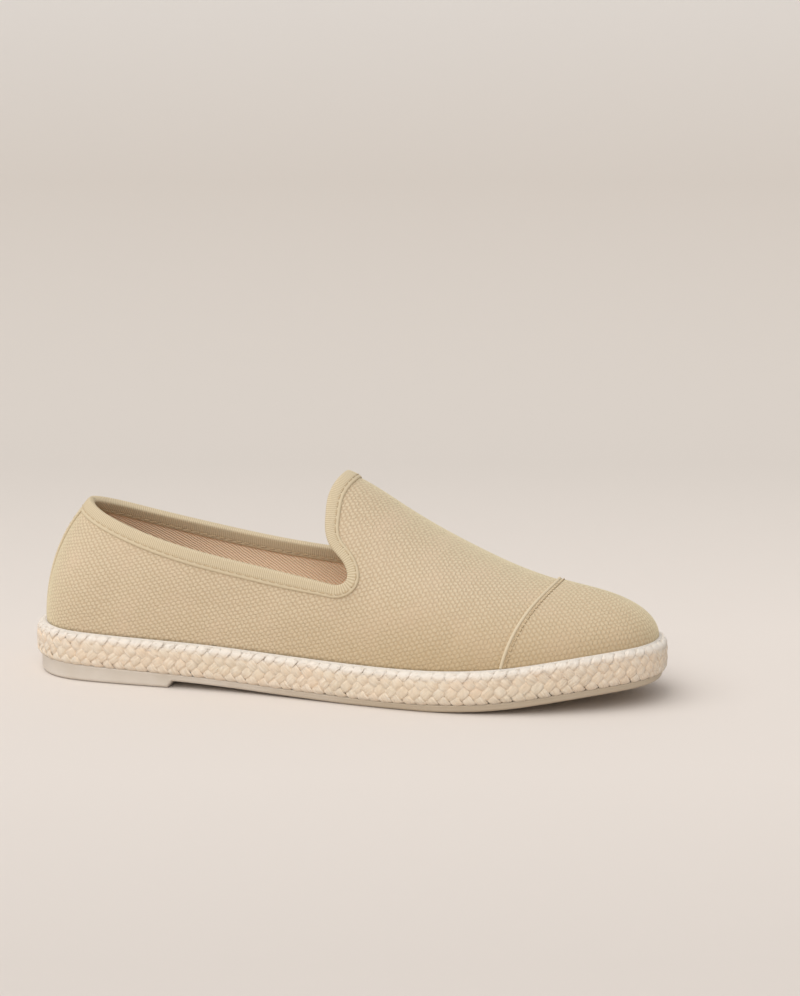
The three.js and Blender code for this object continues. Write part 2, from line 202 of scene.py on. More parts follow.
# How the strands differ, as standard deviations: degrees, a share of the pitch, a share of the
# length, a share of the section, mm, and a share of the width.
LEAF_VARIES = {"slope": 3, "place": 0.04, "length": 0.05, "height": 0.008, "lift": 0.07, "width": 0.06}
FUZZ_COUNT = 6000
FUZZ_RADIUS = 0.08
FUZZ_LENGTHS = (1.0, 3.6)
FUZZ_ON_LEDGE = 0.7  # share of the fibres that stand along the top ledge
LOOP_FROM_TIP = 14

# The middle line of the plait in section: it comes out over the outsole, climbs the side and
# turns in over the top.
PLAIT_OUT = 3.2
PLAIT_LOW = 0.85
PLAIT_HIGH = 13.2
PLAIT_IN = 1.2
PLAIT_CORNER = 1.9
SECTION_STATIONS = 121

# Rings of the rope core from the bottom up: out from the canvas, which edge of the rope sole
# (0 bottom, 1 top), and height above that.
CORE_RINGS = [
    (1.6, 0, 0.3),
    (2.5, 0, 1.2),
    (2.8, 1, -2.4),
    (2.6, 1, -0.7),
    (2.0, 1, 0.15),
    (1.0, 1, 0.45),
    (0.2, 1, 0.3),
    (-0.4, 1, 0),
]

TOP = math.pi / 2
SMALL = 1e-3  # keeps rises off the two edges, where the last has no normal

rng = np.random.default_rng(7)


# ------------------------------------------------------------------ lines and curves
def spline(xs, ys):
    """Natural cubic spline through (xs, ys), held at its end values."""
    xs = np.array(xs, float)
    ys = np.array(ys, float)
    gaps = np.diff(xs)
    count = len(xs)
    matrix = np.eye(count)
    jumps = np.zeros(count)
    for i in range(1, count - 1):
        matrix[i, i - 1 : i + 2] = gaps[i - 1], 2 * (gaps[i - 1] + gaps[i]), gaps[i]
        jumps[i] = 6 * ((ys[i + 1] - ys[i]) / gaps[i] - (ys[i] - ys[i - 1]) / gaps[i - 1])
    bends = np.linalg.solve(matrix, jumps)

    def value(x):
        x = np.clip(x, xs[0], xs[-1])
        i = np.clip(np.searchsorted(xs, x) - 1, 0, count - 2)
        a = (xs[i + 1] - x) / gaps[i]
        b = 1 - a
        curve = ((a**3 - a) * bends[i] + (b**3 - b) * bends[i + 1]) * gaps[i] ** 2 / 6
        return a * ys[i] + b * ys[i + 1] + curve

    return value


def bezier(points, steps):
    """A Bezier curve of any degree through its control points, as steps + 1 places."""
    t = np.linspace(0, 1, steps + 1)[:, None]
    degree = len(points) - 1
    terms = [
        math.comb(degree, k) * (1 - t) ** (degree - k) * t**k * np.array(point, float)
        for k, point in enumerate(points)
    ]
    return sum(terms)


def smooth(x, low, high):
    """0 below low, 1 above high, and an even rise between."""
    t = np.clip((x - low) / (high - low), 0, 1)
    return t * t * (3 - 2 * t)


def bell(distance, width):
    return np.exp(-((distance / width) ** 2))


def unit(vectors):
    return vectors / np.linalg.norm(vectors, axis=-1, keepdims=True)


def directions(points):
    return unit(np.gradient(points, axis=0))


def travelled(points, way=0):
    """Distance travelled at each point of a line, or of a grid along one of its ways."""
    steps = np.linalg.norm(np.diff(points, axis=way), axis=-1)
    return np.insert(steps.cumsum(way), 0, 0, axis=way)


def interpolate(at, run, values):
    """Rows of values, given at distances run, at the distances 'at'."""
    return np.stack([np.interp(at, run, column) for column in values.T], -1)


def resample(values, run, count):
    return interpolate(np.linspace(0, run[-1], count), run, values)


def extended(line, far=60):
    """A line carried straight on beyond both its ends."""
    start = line[0] - unit(line[1] - line[0]) * far
    end = line[-1] + unit(line[-1] - line[-2]) * far
    return np.concatenate([[start], line, [end]])


def circle(count):
    angles = np.linspace(0, 2 * math.pi, count, endpoint=False)
    return np.stack([np.cos(angles), np.sin(angles)], -1)


def nearest_on_line(points, line):
    """For each point: distance to a polyline, and the number of its nearest segment."""
    starts = line[:-1]
    steps = line[1:] - starts
    lengths = (steps**2).sum(-1)
    distance = np.empty(len(points))
    segment = np.empty(len(points), int)
    block = 2000
    for first in range(0, len(points), block):
        part = points[first : first + block, None, :] - starts
        t = np.clip((part * steps).sum(-1) / lengths, 0, 1)
        gap = ((part - t[..., None] * steps) ** 2).sum(-1)
        distance[first : first + block] = np.sqrt(gap.min(1))
        segment[first : first + block] = gap.argmin(1)
    return distance, segment


def side_of_line(x, z, line):
    """Distance of side-view places from a line in x and z, positive to its left."""
    distance, segment = nearest_on_line(np.stack([x, z], -1), line)
    step = line[segment + 1] - line[segment]
    cross = step[:, 0] * (z - line[segment, 1]) - step[:, 1] * (x - line[segment, 0])
    return np.sign(cross) * distance


# ------------------------------------------------------------------ the last
plan_at, plan_shift, plan_half = np.array(PLAN).T
side_at, side_under, side_crown = np.array(SIDE).T
plan_turns = np.arccos(1 - 2 * plan_at)
fullness = spline(
    [0, *plan_turns, math.pi],
    [
        math.sqrt(HEEL_RADIUS * LENGTH / 2),
        *(plan_half / np.sin(plan_turns)),
        math.sqrt(TOE_RADIUS * LENGTH / 2),
    ],
)
axis = spline(plan_at * LENGTH, plan_shift)
under = spline(side_at * LENGTH, side_under)
crown = spline(side_at * LENGTH, side_crown)


def seat(x):
    return under(x) + ROPE_BAND


def climb(x, z):
    """Height of side-view places above the feather edge, as a share of the ridge's."""
    return (z - seat(x) - GAP) / crown(x)


def turn_at(x):
    """Turn of the outline's outer side at x."""
    return np.arccos(np.clip(1 - 2 * x / LENGTH, -1, 1))


def signed(turns):
    """Turns beyond PI as turns on the inner side, which are negative."""
    return np.where(turns > math.pi, turns - 2 * math.pi, turns)


def ring_turns(count):
    return signed(np.linspace(0, 2 * math.pi, count, endpoint=False))


def outline_at(turn):
    x = LENGTH / 2 * (1 - np.cos(turn))
    return x, axis(x) - fullness(np.abs(turn)) * np.sin(turn)


def outline(turn, out=0.0):
    """The plan outline moved outwards: arrays x and y."""
    step = 1e-3
    x, y = outline_at(turn)
    x_before, y_before = outline_at(turn - step)
    x_after, y_after = outline_at(turn + step)
    dx = x_after - x_before
    dy = y_after - y_before
    length = np.hypot(dx, dy)
    return x + out * dy / length, y - out * dx / length


def plan_point(turn, inward, out=0.0):
    """A point of the plan, from the outline (inward 0) to the ridge (inward 1)."""
    x_foot, y_foot = outline(turn, out)
    x_ridge = RIDGE_START + RIDGE_RUN * (1 - np.cos(turn)) / 2
    return x_foot + (x_ridge - x_foot) * inward, y_foot + (axis(x_ridge) - y_foot) * inward


def last(turn, rise):
    inward = 1 - np.cos(rise)
    x, y = plan_point(turn, inward)
    squeeze = 1 - PINCH * inward * (1 - smooth(x, PINCH_FULL, PINCH_ENDS))
    y = axis(x) + (y - axis(x)) * squeeze
    z = seat(x) + GAP + crown(x) * np.sin(rise)
    return np.stack(np.broadcast_arrays(x, y, z), -1)


def normal_at(turn, rise):
    step = 1e-3
    across = last(turn + step, rise) - last(turn - step, rise)
    upward = last(turn, rise + step) - last(turn, rise - step)
    return unit(np.cross(across, upward))


def find_on_last(x, z):
    """The outline's x and the rise of the last at side-view places x, z."""
    rise = np.arcsin(np.clip(climb(x, z), -1, 1))
    inward = 1 - np.cos(rise)
    return (x - RIDGE_START * inward) / (1 - inward + RIDGE_RUN / LENGTH * inward), rise


def nearest_on_last(target, turn, rise):
    """Turn and rise of the last's nearest points to target, from a first guess."""
    step = 1e-4
    turn = np.array(turn, float)
    rise = np.array(rise, float)
    for _ in range(6):
        here = last(turn, rise)
        by_turn = (last(turn + step, rise) - here) / step
        by_rise = (last(turn, rise + step) - here) / step
        miss = target - here
        tt = (by_turn**2).sum(-1)
        tr = (by_turn * by_rise).sum(-1)
        rr = (by_rise**2).sum(-1)
        mt = (miss * by_turn).sum(-1)
        mr = (miss * by_rise).sum(-1)
        determinant = tt * rr - tr * tr
        turn += (rr * mt - tr * mr) / determinant
        rise += (tt * mr - tr * mt) / determinant
    return turn, rise


def lay_on_last(target, turn, rise, proud):
    """The last's nearest points to target moved out by proud, and their outward directions."""
    turn, rise = nearest_on_last(target, turn, rise)
    rise = np.clip(rise, SMALL, TOP - SMALL)
    outward = normal_at(turn, rise)
    return last(turn, rise) + outward * np.reshape(proud, (-1, 1)), outward


SHIFT = np.array(
    [
        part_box("upper")[0].x / MM,
        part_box("midsole")[0].y / MM - outline(ring_turns(CAD_TURNS), ROPE_RIM)[1].min(),
        0,
    ]
)


def in_metres(points):
    return (np.asarray(points, float) + SHIFT) * MM


# ------------------------------------------------------------------ meshes
def new_object(name, data):
    thing = bpy.data.objects.new(name, data)
    bpy.context.scene.collection.objects.link(thing)
    return thing


def make_piece(name, points, faces, node, slot, material, **attributes):
    """A smooth mesh object from points in millimetres; attributes are vectors at its points.
    It takes the place of the CAD node of that name, if there is one."""
    mesh = bpy.data.meshes.new(name)
    mesh.from_pydata(in_metres(points), [], faces)
    mesh.shade_smooth()
    for key, values in attributes.items():
        layer = mesh.attributes.new(key, "FLOAT_VECTOR", "POINT")
        layer.data.foreach_set("vector", np.ascontiguousarray(values, np.float32).ravel())
    mesh.materials.append(material)
    piece = new_object(name, mesh)
    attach(piece, BODY)
    if node:
        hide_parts(node)
    return piece


def thicken(piece, name, thickness):
    """Gives a sheet its thickness, on the inner side."""
    layer = piece.modifiers.new(name, "SOLIDIFY")
    layer.thickness = thickness * MM
    layer.offset = -1
    return layer


def grid_faces(rows, columns, closed_rows=False, closed_columns=False, flip=False):
    """Quads of a grid whose point (row, column) has number row * columns + column."""
    i = np.arange(rows if closed_rows else rows - 1)
    j = np.arange(columns if closed_columns else columns - 1)
    i, j = np.meshgrid(i, j, indexing="ij")
    i_next = (i + 1) % rows
    j_next = (j + 1) % columns
    corners = [i * columns + j, i * columns + j_next, i_next * columns + j_next, i_next * columns + j]
    quads = np.stack(corners, -1).reshape(-1, 4)
    return quads[:, ::-1] if flip else quads


def clip(rows, faces, keep):
    """Cuts a mesh along keep = 0 and leaves the side where keep is above 0. A row holds a
    point's place and then what it carries."""
    rows = list(rows)
    cut_at = {}
    kept = []

    def cut(a, b):
        key = (min(a, b), max(a, b))
        if key not in cut_at:
            share = keep[a] / (keep[a] - keep[b])
            cut_at[key] = len(rows)
            rows.append(rows[a] + (rows[b] - rows[a]) * share)
        return cut_at[key]

    inside = keep > 0
    for face in faces.tolist():
        flags = [inside[v] for v in face]
        if all(flags):
            kept.append(face)
            continue
        if not any(flags):
            continue
        polygon = []
        for a, b in zip(face, face[1:] + face[:1]):
            if inside[a]:
                polygon.append(a)
            if inside[a] != inside[b]:
                polygon.append(cut(a, b))
        kept.append(polygon)
    used = sorted({v for face in kept for v in face})
    number = {v: i for i, v in enumerate(used)}
    return np.array(rows)[used], [[number[v] for v in face] for face in kept]


def merge_equal(rows, faces, grain=0.02):
    """Joins points that lie in the same grain, and drops the corners that this closes up."""
    keys = np.round(rows[:, :3] / grain).astype(np.int64)
    _, first, number = np.unique(keys, axis=0, return_index=True, return_inverse=True)
    number = number.reshape(-1)
    merged = []
    for face in faces:
        corners = [int(number[v]) for v in face]
        corners = [v for i, v in enumerate(corners) if v != corners[i - 1]]
        if len(corners) > 2:
            merged.append(corners)
    return rows[first], merged


def sweep(centres, side, up, section):
    """A tube: its section, as (side, up) pairs or one such list per station, along centres."""
    section = np.broadcast_to(section, (len(centres), *section.shape[-2:]))
    points = centres[:, None] + section[..., :1] * side[:, None] + section[..., 1:] * up[:, None]
    count = section.shape[1]
    faces = grid_faces(len(centres), count, closed_columns=True).tolist()
    faces.append(list(range(count)))
    faces.append([(len(centres) - 1) * count + k for k in reversed(range(count))])
    return points.reshape(-1, 3), faces


def join_meshes(parts):
    """Points and faces of several (points, faces) pairs as one mesh."""
    points = []
    faces = []
    start = 0
    for part_points, part_faces in parts:
        points.append(part_points)
        faces += [[v + start for v in face] for face in part_faces]
        start += len(part_points)
    return np.concatenate(points), faces


def ring(turns, out, height):
    """Points round the shoe, that far out from the canvas; height is a function of x."""
    x, y = outline(turns, out)
    return np.stack([x, y, height(x)], -1)


def close_across(count, start, flip):
    """Faces that close a ring of 'count' points straight across the shoe."""
    faces = []
    for i in range(count // 2):
        face = [start + i, start + i + 1, start + count - i - 1, start + (count - i) % count]
        face = list(dict.fromkeys(face))
        if len(face) > 2:
            faces.append(face[::-1] if flip else face)
    return faces


def stack_faces(rings, count):
    """Faces of a stack of rings round the shoe, closed at the bottom and at the top."""
    faces = grid_faces(rings, count, closed_columns=True).tolist()
    return faces + close_across(count, 0, True) + close_across(count, (rings - 1) * count, False)


# ------------------------------------------------------------------ canvas on the last
def cloth_coordinates(turns, rises):
    """Where the last's points lie in the canvas, in mm, for a grid of turns by rises.

    The first coordinate is the distance along the shoe from its middle, measured on the canvas
    at an even rise; the second is the height up the canvas from the feather edge, less the
    slant of the rows; the third is 0.
    """
    fine = np.linspace(0, math.pi, 1441)
    fine_rises = np.linspace(0, TOP, 41)
    table = np.linspace(-200, 220, 841)
    slope = ROW_SLANT * (1 - smooth(table, *SLANT_ENDS))
    slant = np.cumsum(slope) * (table[1] - table[0])
    result = np.zeros((len(turns), len(rises), 3))
    for sign in (1, -1):
        grid = last(sign * fine[:, None], fine_rises[None])
        along = travelled(grid, 0)
        for k in range(len(fine_rises)):
            along[:, k] -= np.interp(LENGTH / 2, grid[:, k, 0], along[:, k])
        spacing = ROW_CLOSE + (ROW_WIDE - ROW_CLOSE) * smooth(along, -120, 120)
        height = travelled(grid, 1) / spacing - np.interp(along, table, slant)
        mine = np.flatnonzero(turns * sign >= 0)
        at = np.interp(np.abs(turns[mine]), fine, np.arange(len(fine)))
        low = np.minimum(at.astype(int), len(fine) - 2)
        share = (at - low)[:, None]
        for part, values in enumerate((along, height)):
            rows = values[low] + (values[low + 1] - values[low]) * share
            for k, row in zip(mine, rows):
                result[k, :, part] = np.interp(rises, fine_rises, row)
    return result


def dome(turns, rises, closed):
    """Grid over the last: points, quads, cloth coordinates and outward directions."""
    points = last(turns[:, None], rises[None]).reshape(-1, 3)
    outward = normal_at(turns[:, None], np.minimum(rises, TOP - SMALL)[None]).reshape(-1, 3)
    faces = grid_faces(len(turns), len(rises), closed_rows=closed, flip=True)
    return points, faces, cloth_coordinates(turns, rises).reshape(-1, 3), outward


def canvas_piece(name, points, faces, keep, node, slot, material, cloth):
    """A piece of canvas: the part of a mesh where keep is above 0."""
    rows, faces = merge_equal(*clip(np.hstack([points, cloth]), faces, keep))
    return make_piece(name, rows[:, :3], faces, node, slot, material, cloth=rows[:, 3:])


def soft_folds(points):
    """How far the canvas stands off the last at points on it, from SOFT_FOLDS."""
    off = np.zeros(len(points))
    outer = points[:, 1] < axis(points[:, 0])
    for side, x, z, half_length, half_width, slope, depth in SOFT_FOLDS:
        c = math.cos(math.radians(slope))
        s = math.sin(math.radians(slope))
        along = (points[:, 0] - x) * c + (points[:, 2] - z) * s
        across = (points[:, 2] - z) * c - (points[:, 0] - x) * s
        here = depth * bell(along, half_length) * bell(across, half_width)
        off += np.where(outer == (side == 1), here, 0)
    return off


def opening_line():
    """The opening's edge in the side view, from behind the heel to above the instep."""
    line = [np.array([OPENING_START], float)]
    for bend in OPENING_BENDS:
        line.append(bezier([line[-1][-1], *bend], 160)[1:])
    return np.concatenate(line)


def edge_on_last(x, z, side):
    """Turn and rise of the opening's edge on one side (1 outer, -1 inner), at side-view places."""
    height = np.array(z, float)
    for _ in range(9):
        x_foot, rise = find_on_last(x, height)
        turn = side * turn_at(x_foot)
        height = z + OPENING_TILT * last(turn, rise)[..., 1]
    return turn, rise


def opening_edge(count):
    """The edge from heel to tip at even steps along the outer side's canvas: side-view place,
    then turn and rise on the outer side and on the inner side; and its length."""
    line = opening_line()
    run = travelled(line)
    x_foot, _ = find_on_last(*line.T)
    height = climb(line[:, 0], line[:, 1] + OPENING_TILT * axis(line[:, 0]))
    start = np.interp(0, x_foot[:60], run[:60])
    end = np.interp(1, height[-120:], run[-120:])
    at = start + (end - start) * (1 - np.cos(np.linspace(0, math.pi, 4001))) / 2
    x, z = interpolate(at, run, line).T
    outer = edge_on_last(x, z, 1)
    inner = edge_on_last(x, z, -1)
    run = travelled(last(*outer))
    return resample(np.column_stack([x, z, *outer, *inner]), run, count), run[-1]


def binding_frame(count):
    """Stations round the whole opening: points, directions out and down, turn and rise, and the
    depth of the tape's outside leg."""
    stops, _ = opening_edge(count)
    back = stops[1:-1][::-1]
    turn = np.concatenate([stops[:, 2], back[:, 4]])
    rise = np.concatenate([stops[:, 3], back[:, 5]])
    points = last(turn, rise)
    along = unit(np.roll(points, -1, 0) - np.roll(points, 1, 0))
    out = normal_at(turn, np.minimum(rise, TOP - SMALL))
    down = unit(np.cross(along, out))
    places = np.concatenate([stops[:, :2], back[:, :2]])
    from_corner = np.linalg.norm(places - OPENING_CORNER, axis=-1)
    leg = BIND_OUTSIDE - BIND_PULL * bell(from_corner, BIND_PULL_REACH)
    return points, out, down, turn, rise, leg


# ------------------------------------------------------------------ materials
def srgb(red, green, blue):
    """A colour given as 0 to 255 in sRGB, as linear values, opaque."""
    values = np.array([red, green, blue]) / 255
    return (*np.where(values <= 0.04045, values / 12.92, ((values + 0.055) / 1.055) ** 2.4), 1.0)


class Nodes:
    """Short hand for building one material's node tree. A colour is a socket or four numbers."""

    def __init__(self, name, base, roughness, **sockets):
        self.material = bpy.data.materials.new(name)
        self.material.use_nodes = True
        self.tree = self.material.node_tree
        self.shader = self.tree.nodes["Principled BSDF"]
        self.colour = base
        sockets.update(Base_Color=base, Roughness=roughness)
        for key, value in sockets.items():
            self.shader.inputs[key.replace("_", " ")].default_value = value

    def add(self, kind, *links, **settings):
        """A node; links are (input, source or value) pairs."""
        node = self.tree.nodes.new(kind)
        for key, value in settings.items():
            setattr(node, key, value)
        for key, source in links:
            if isinstance(source, bpy.types.NodeSocket):
                self.tree.links.new(source, node.inputs[key])
            else:
                node.inputs[key].default_value = source
        return node

    def attribute(self, name):
        return self.add("ShaderNodeAttribute", attribute_name=name).outputs["Vector"]

    def place(self):
        return self.add("ShaderNodeTexCoord").outputs["Object"]

    def math(self, operation, a, b=0.0):
        return self.add("ShaderNodeMath", (0, a), (1, b), operation=operation).outputs[0]

    def total(self, *terms):
        """Sum of (value, weight) pairs."""
        result = 0.0
        for value, weight in terms:
            result = self.math("ADD", result, self.math("MULTIPLY", value, weight))
        return result

    def vector(self, operation, a, b):
        return self.add("ShaderNodeVectorMath", (0, a), (1, b), operation=operation).outputs["Vector"]

    def dot(self, a, b):
        node = self.add("ShaderNodeVectorMath", (0, a), (1, b), operation="DOT_PRODUCT")
        return node.outputs["Value"]

    def noise(self, vector, scale, detail=2.0, roughness=0.5, output="Fac"):
        """Noise; its scale is one number, or three that stretch it."""
        if isinstance(scale, tuple):
            vector = self.vector("MULTIPLY", vector, scale)
            scale = 1.0
        links = [("Vector", vector), ("Scale", scale), ("Detail", detail), ("Roughness", roughness)]
        return self.add("ShaderNodeTexNoise", *links).outputs[output]

    def span(self, value, low, high, to_low=0.0, to_high=1.0):
        links = [("Value", value), ("From Min", low), ("From Max", high)]
        links += [("To Min", to_low), ("To Max", to_high)]
        return self.add("ShaderNodeMapRange", *links).outputs["Result"]

    def mix(self, share, a, b):
        node = self.add("ShaderNodeMix", (0, share), (6, a), (7, b), data_type="RGBA")
        return node.outputs[2]

    def tint(self, colour, value, low=0.0, high=1.0, most=1.0):
        """Mixes a colour into the material's: none where value is low, 'most' where it is high."""
        self.colour = self.mix(self.span(value, low, high, 0.0, most), self.colour, colour)

    def cosine(self, vector, wave):
        """Cosine of a wave running along the vector 'wave', in turns per unit."""
        return self.math("COSINE", self.dot(vector, tuple(2 * math.pi * part for part in wave)))

    def ribs(self, vector, wave):
        """The same, from 0 to 1."""
        return self.span(self.cosine(vector, wave), -1, 1)

    def finish(self, height=None, distance=0.0):
        """Links the colour, and the height as a bump of that many metres."""
        self.tree.links.new(self.colour, self.shader.inputs["Base Color"])
        if height is not None:
            links = [("Height", height), ("Distance", distance), ("Strength", 1.0)]
            bump = self.add("ShaderNodeBump", *links)
            self.tree.links.new(bump.outputs["Normal"], self.shader.inputs["Normal"])
        return self.material


TWILL_WAVE = (0.7, 0.64, 0)
TWILL_CROSS = (0.62, -0.7, 0)
PLAIN_TAPE = 0.6  # tone and height of tape without ribs, between rib and groove


def canvas_material(name, specks):
    """Pebbled canvas: rounded knops in staggered rows, with small gaps between them. Painted
    shade darkens it low down towards the toe."""
    sheen = {"Sheen_Weight": 1.0, "Sheen_Roughness": 0.45, "Sheen_Tint": srgb(224, 218, 184)}
    n = Nodes(name, srgb(212, 194, 162), 0.85, **sheen)
    cloth = n.attribute("cloth")
    wander = n.math("SUBTRACT", n.noise(cloth, 0.16, 3.0), 0.5)
    warped = n.vector("ADD", cloth, n.math("MULTIPLY", wander, 1.3))
    jitter = n.noise(cloth, 0.5, output="Color")
    warped = n.vector("ADD", warped, n.vector("MULTIPLY", jitter, (1.5, 1.2, 0)))
    row = 1 / WEAVE_ROW
    across = 1 / WEAVE_ALONG
    waves = n.total(
        (n.cosine(warped, (across, row / 2, 0)), 1.25),
        (n.cosine(warped, (-across, row / 2, 0)), 0.85),
        (n.cosine(warped, (0, row, 0)), 0.9),
    )
    knop = n.span(waves, -1.5, 1.2)
    thread = n.noise(cloth, (2.2, 2.2, 1), 4.0, 0.65)
    broad = n.noise(cloth, 0.02)
    n.colour = n.mix(broad, srgb(184, 157, 124), srgb(192, 164, 133))
    n.tint(n.mix(broad, srgb(211, 189, 158), srgb(217, 198, 167)), knop, 0.0, 0.8)
    n.tint(srgb(228, 212, 184), thread, 0.3, 0.75, 0.35)
    n.tint(srgb(196, 174, 140), n.noise(cloth, (0.09, 0.6, 1)), 0.4, 0.7, 0.22)
    n.tint(srgb(216, 190, 162), n.noise(cloth, (0.05, 0.05, 1), 1.0), 0.5, 0.72, 0.35)
    place = n.place()
    # painted shade: darker low on the sides, more so towards the toe
    low = n.span(n.dot(place, (0, 0, 1)), 0.018, 0.052, 0.6, 0.0)
    ahead = n.span(n.dot(place, (1, 0, 0)), -0.04, 0.05, 0.2, 1.0)
    n.tint(srgb(182, 155, 112), n.math("MULTIPLY", low, ahead))
    if specks:
        spots = n.add("ShaderNodeTexVoronoi", ("Vector", cloth), ("Scale", 0.09)).outputs
        near = n.span(spots["Distance"], 0.018, 0.034, 1.0, 0.0)
        chosen = n.math("GREATER_THAN", n.dot(spots["Color"], (1, 0, 0)), 0.45)
        n.tint(srgb(124, 98, 70), n.math("MULTIPLY", near, chosen))
    return n.finish(n.total((knop, 0.75), (thread, 0.35)), 0.00034)


def lining_material():
    """Peach cotton twill: fine slanting ribs."""
    n = Nodes("lining_twill", srgb(249, 205, 166), 0.9, Sheen_Weight=0.3)
    cloth = n.attribute("cloth")
    wander = n.vector("MULTIPLY", n.noise(cloth, 0.2, output="Color"), (0.8, 0.8, 0))
    warped = n.vector("ADD", cloth, wander)
    weave = n.total((n.ribs(warped, TWILL_WAVE), 0.75), (n.ribs(warped, TWILL_CROSS), 0.25))
    n.tint(srgb(255, 238, 208), weave)
    n.tint(srgb(255, 236, 212), n.noise(cloth, (3, 3, 1), 3.0), 0.25, 0.8, 0.25)
    return n.finish(weave, 0.00035)


def tape_material(name, light, dark, rib_pitch, rib_share=1.0):
    """Grosgrain tape: ribs across its length, read from the 'tape' attribute: distance along,
    across, and 1 where it is ribbed, 0 on the plain selvedge."""
    sheen = {"Sheen_Weight": 0.4, "Sheen_Roughness": 0.45, "Sheen_Tint": srgb(226, 220, 190)}
    n = Nodes(name, light, 0.8, **sheen)
    tape = n.attribute("tape")
    rib = n.math("SUBTRACT", n.ribs(tape, (1 / rib_pitch, 0, 0)), PLAIN_TAPE)
    ribbed = n.dot(tape, (0, 0, rib_share))
    shown = n.math("ADD", PLAIN_TAPE, n.math("MULTIPLY", ribbed, rib))
    fine = n.noise(tape, (1.2, 3.5, 0), 3.0)
    n.colour = dark
    n.tint(light, shown)
    n.tint(tuple(min(1, 1.1 * c) for c in light), fine, 0.25, 0.8, 0.3)
    n.tint(srgb(214, 192, 154), n.noise(tape, (0.03, 0.03, 0)), 0.35, 0.7, 0.2)
    return n.finish(n.total((shown, 1.0), (fine, 0.4)), 0.0001)


def rope_material(name, light, deep, warm):
    """Washed jute: fibres along each strand, in paler and warmer lengths, and whiter towards its
    top edge. The 'strand' attribute is distance along, across and which strand; 'level' is the
    height up the rope sole, from 0 to 1."""
    n = Nodes(name, light, 0.95, Sheen_Weight=0.5, Sheen_Roughness=0.5)
    strand = n.attribute("strand")
    fibre = n.noise(strand, (0.14, 1.2, 1), 4.0, 0.7)
    hair = n.noise(strand, (0.4, 4.0, 1), 3.0, 0.6)
    patch = n.noise(n.place(), (30, 30, 60))
    n.colour = deep
    n.tint(light, fibre, 0.33, 0.66)
    n.tint(srgb(250, 240, 226), hair, 0.3, 0.7, 0.25)
    n.tint(warm, n.noise(strand, (0.16, 0.1, 1.7)), 0.42, 0.66, 0.7)
    n.tint(srgb(226, 216, 190), patch, 0.45, 0.7, 0.3)
    level = n.dot(n.attribute("level"), (1, 0, 0))
    # whiter towards the top edge of the rope sole
    n.tint(srgb(250, 242, 232), n.total((level, 1.0), (patch, 0.16)), 0.8, 1.0, 0.7)
    return n.finish(n.total((fibre, 0.8), (hair, 0.3)), 0.0011)


def rubber_material():
    """Moulded rubber: pale warm grey, faintly mottled, with fine scuffs; painted shade darkens the
    toe.
    """
    n = Nodes("outsole_rubber", srgb(214, 203, 188), 0.5)
    place = n.place()
    broad = n.noise(place, 45, 3.0)
    n.tint(srgb(223, 214, 202), broad, 0.35, 0.65)
    n.tint(srgb(188, 174, 152), n.noise(place, (120, 120, 1500)), 0.62, 0.8, 0.3)
    # painted shade: darker towards the toe, where the thin forepart curves under
    n.tint(srgb(184, 165, 136), n.dot(place, (1, 0, 0)), -0.06, 0.03, 0.7)
    n.tree.links.new(n.span(broad, 0.3, 0.7, 0.42, 0.62), n.shader.inputs["Roughness"])
    return n.finish(n.noise(place, 1800), 0.00004)


def footbed_material():
    """Woven cotton footbed cloth."""
    n = Nodes("footbed_cloth", srgb(196, 162, 128), 0.92, Sheen_Weight=0.15)
    place = n.place()
    warp = n.math("ABSOLUTE", n.cosine(place, (420, 0, 0)))
    weft = n.math("ABSOLUTE", n.cosine(place, (0, 420, 0)))
    weave = n.math("MULTIPLY", warp, weft)
    n.tint(srgb(220, 190, 160), weave)
    n.tint(srgb(202, 170, 138), n.noise(place, 60, 3.0), 0.35, 0.7, 0.25)
    return n.finish(weave, 0.0002)


def thread_material(name, light, dark):
    """Twisted sewing thread."""
    n = Nodes(name, dark, 0.75)
    ply = n.noise(n.place(), 2600)
    n.tint(light, ply, 0.35, 0.65)
    return n.finish(ply, 0.00008)


canvas = canvas_material("canvas_pebbled", specks=True)
cap_canvas = canvas_material("canvas_toe_cap", specks=False)
lining = lining_material()
tape_pale = srgb(217, 201, 171)
tape_deep = srgb(186, 164, 130)
binding_tape = tape_material("binding_grosgrain", tape_pale, tape_deep, RIB_PITCH)
heel_tape = tape_material("heel_tape", tape_pale, srgb(206, 190, 158), 1.3, 0.6)
cap_roll = tape_material("canvas_cap_roll", srgb(224, 208, 180), tape_deep, 1.0, 0.0)
rope_pale = srgb(252, 236, 214)
rope = rope_material("rope_jute", rope_pale, srgb(226, 200, 167), srgb(242, 216, 186))
rope_core = rope_material("rope_core_jute", rope_pale, srgb(222, 200, 170), srgb(238, 218, 194))
rubber = rubber_material()
footbed = footbed_material()
thread = thread_material("sewing_thread", srgb(214, 194, 160), srgb(184, 158, 120))
# needle holes: dark discs of painted shade, for the shade inside the holes
needle_hole = thread_material("needle_holes", srgb(120, 94, 64), srgb(88, 66, 42))


# ------------------------------------------------------------------ upper
def make_upper():
    """The canvas with its lining: one hollow shell, cut along the opening's edge."""
    turns = np.linspace(-math.pi, math.pi, 480, endpoint=False)
    rises = np.linspace(0, TOP, 72)
    points, faces, cloth, outward = dome(turns, rises, closed=True)
    points[:: len(rises), 2] -= GAP
    level = points[:, 2] - OPENING_TILT * points[:, 1]
    keep = -side_of_line(points[:, 0], level, extended(opening_line()))
    points = points + outward * soft_folds(points)[:, None]
    piece = canvas_piece("upper_canvas", points, faces, keep, "upper", "canvas", canvas, cloth)
    piece.data.materials.append(lining)
    shell = thicken(piece, "wall", WALL)
    shell.use_even_offset = True
    shell.material_offset = 1
    shell.material_offset_rim = 1


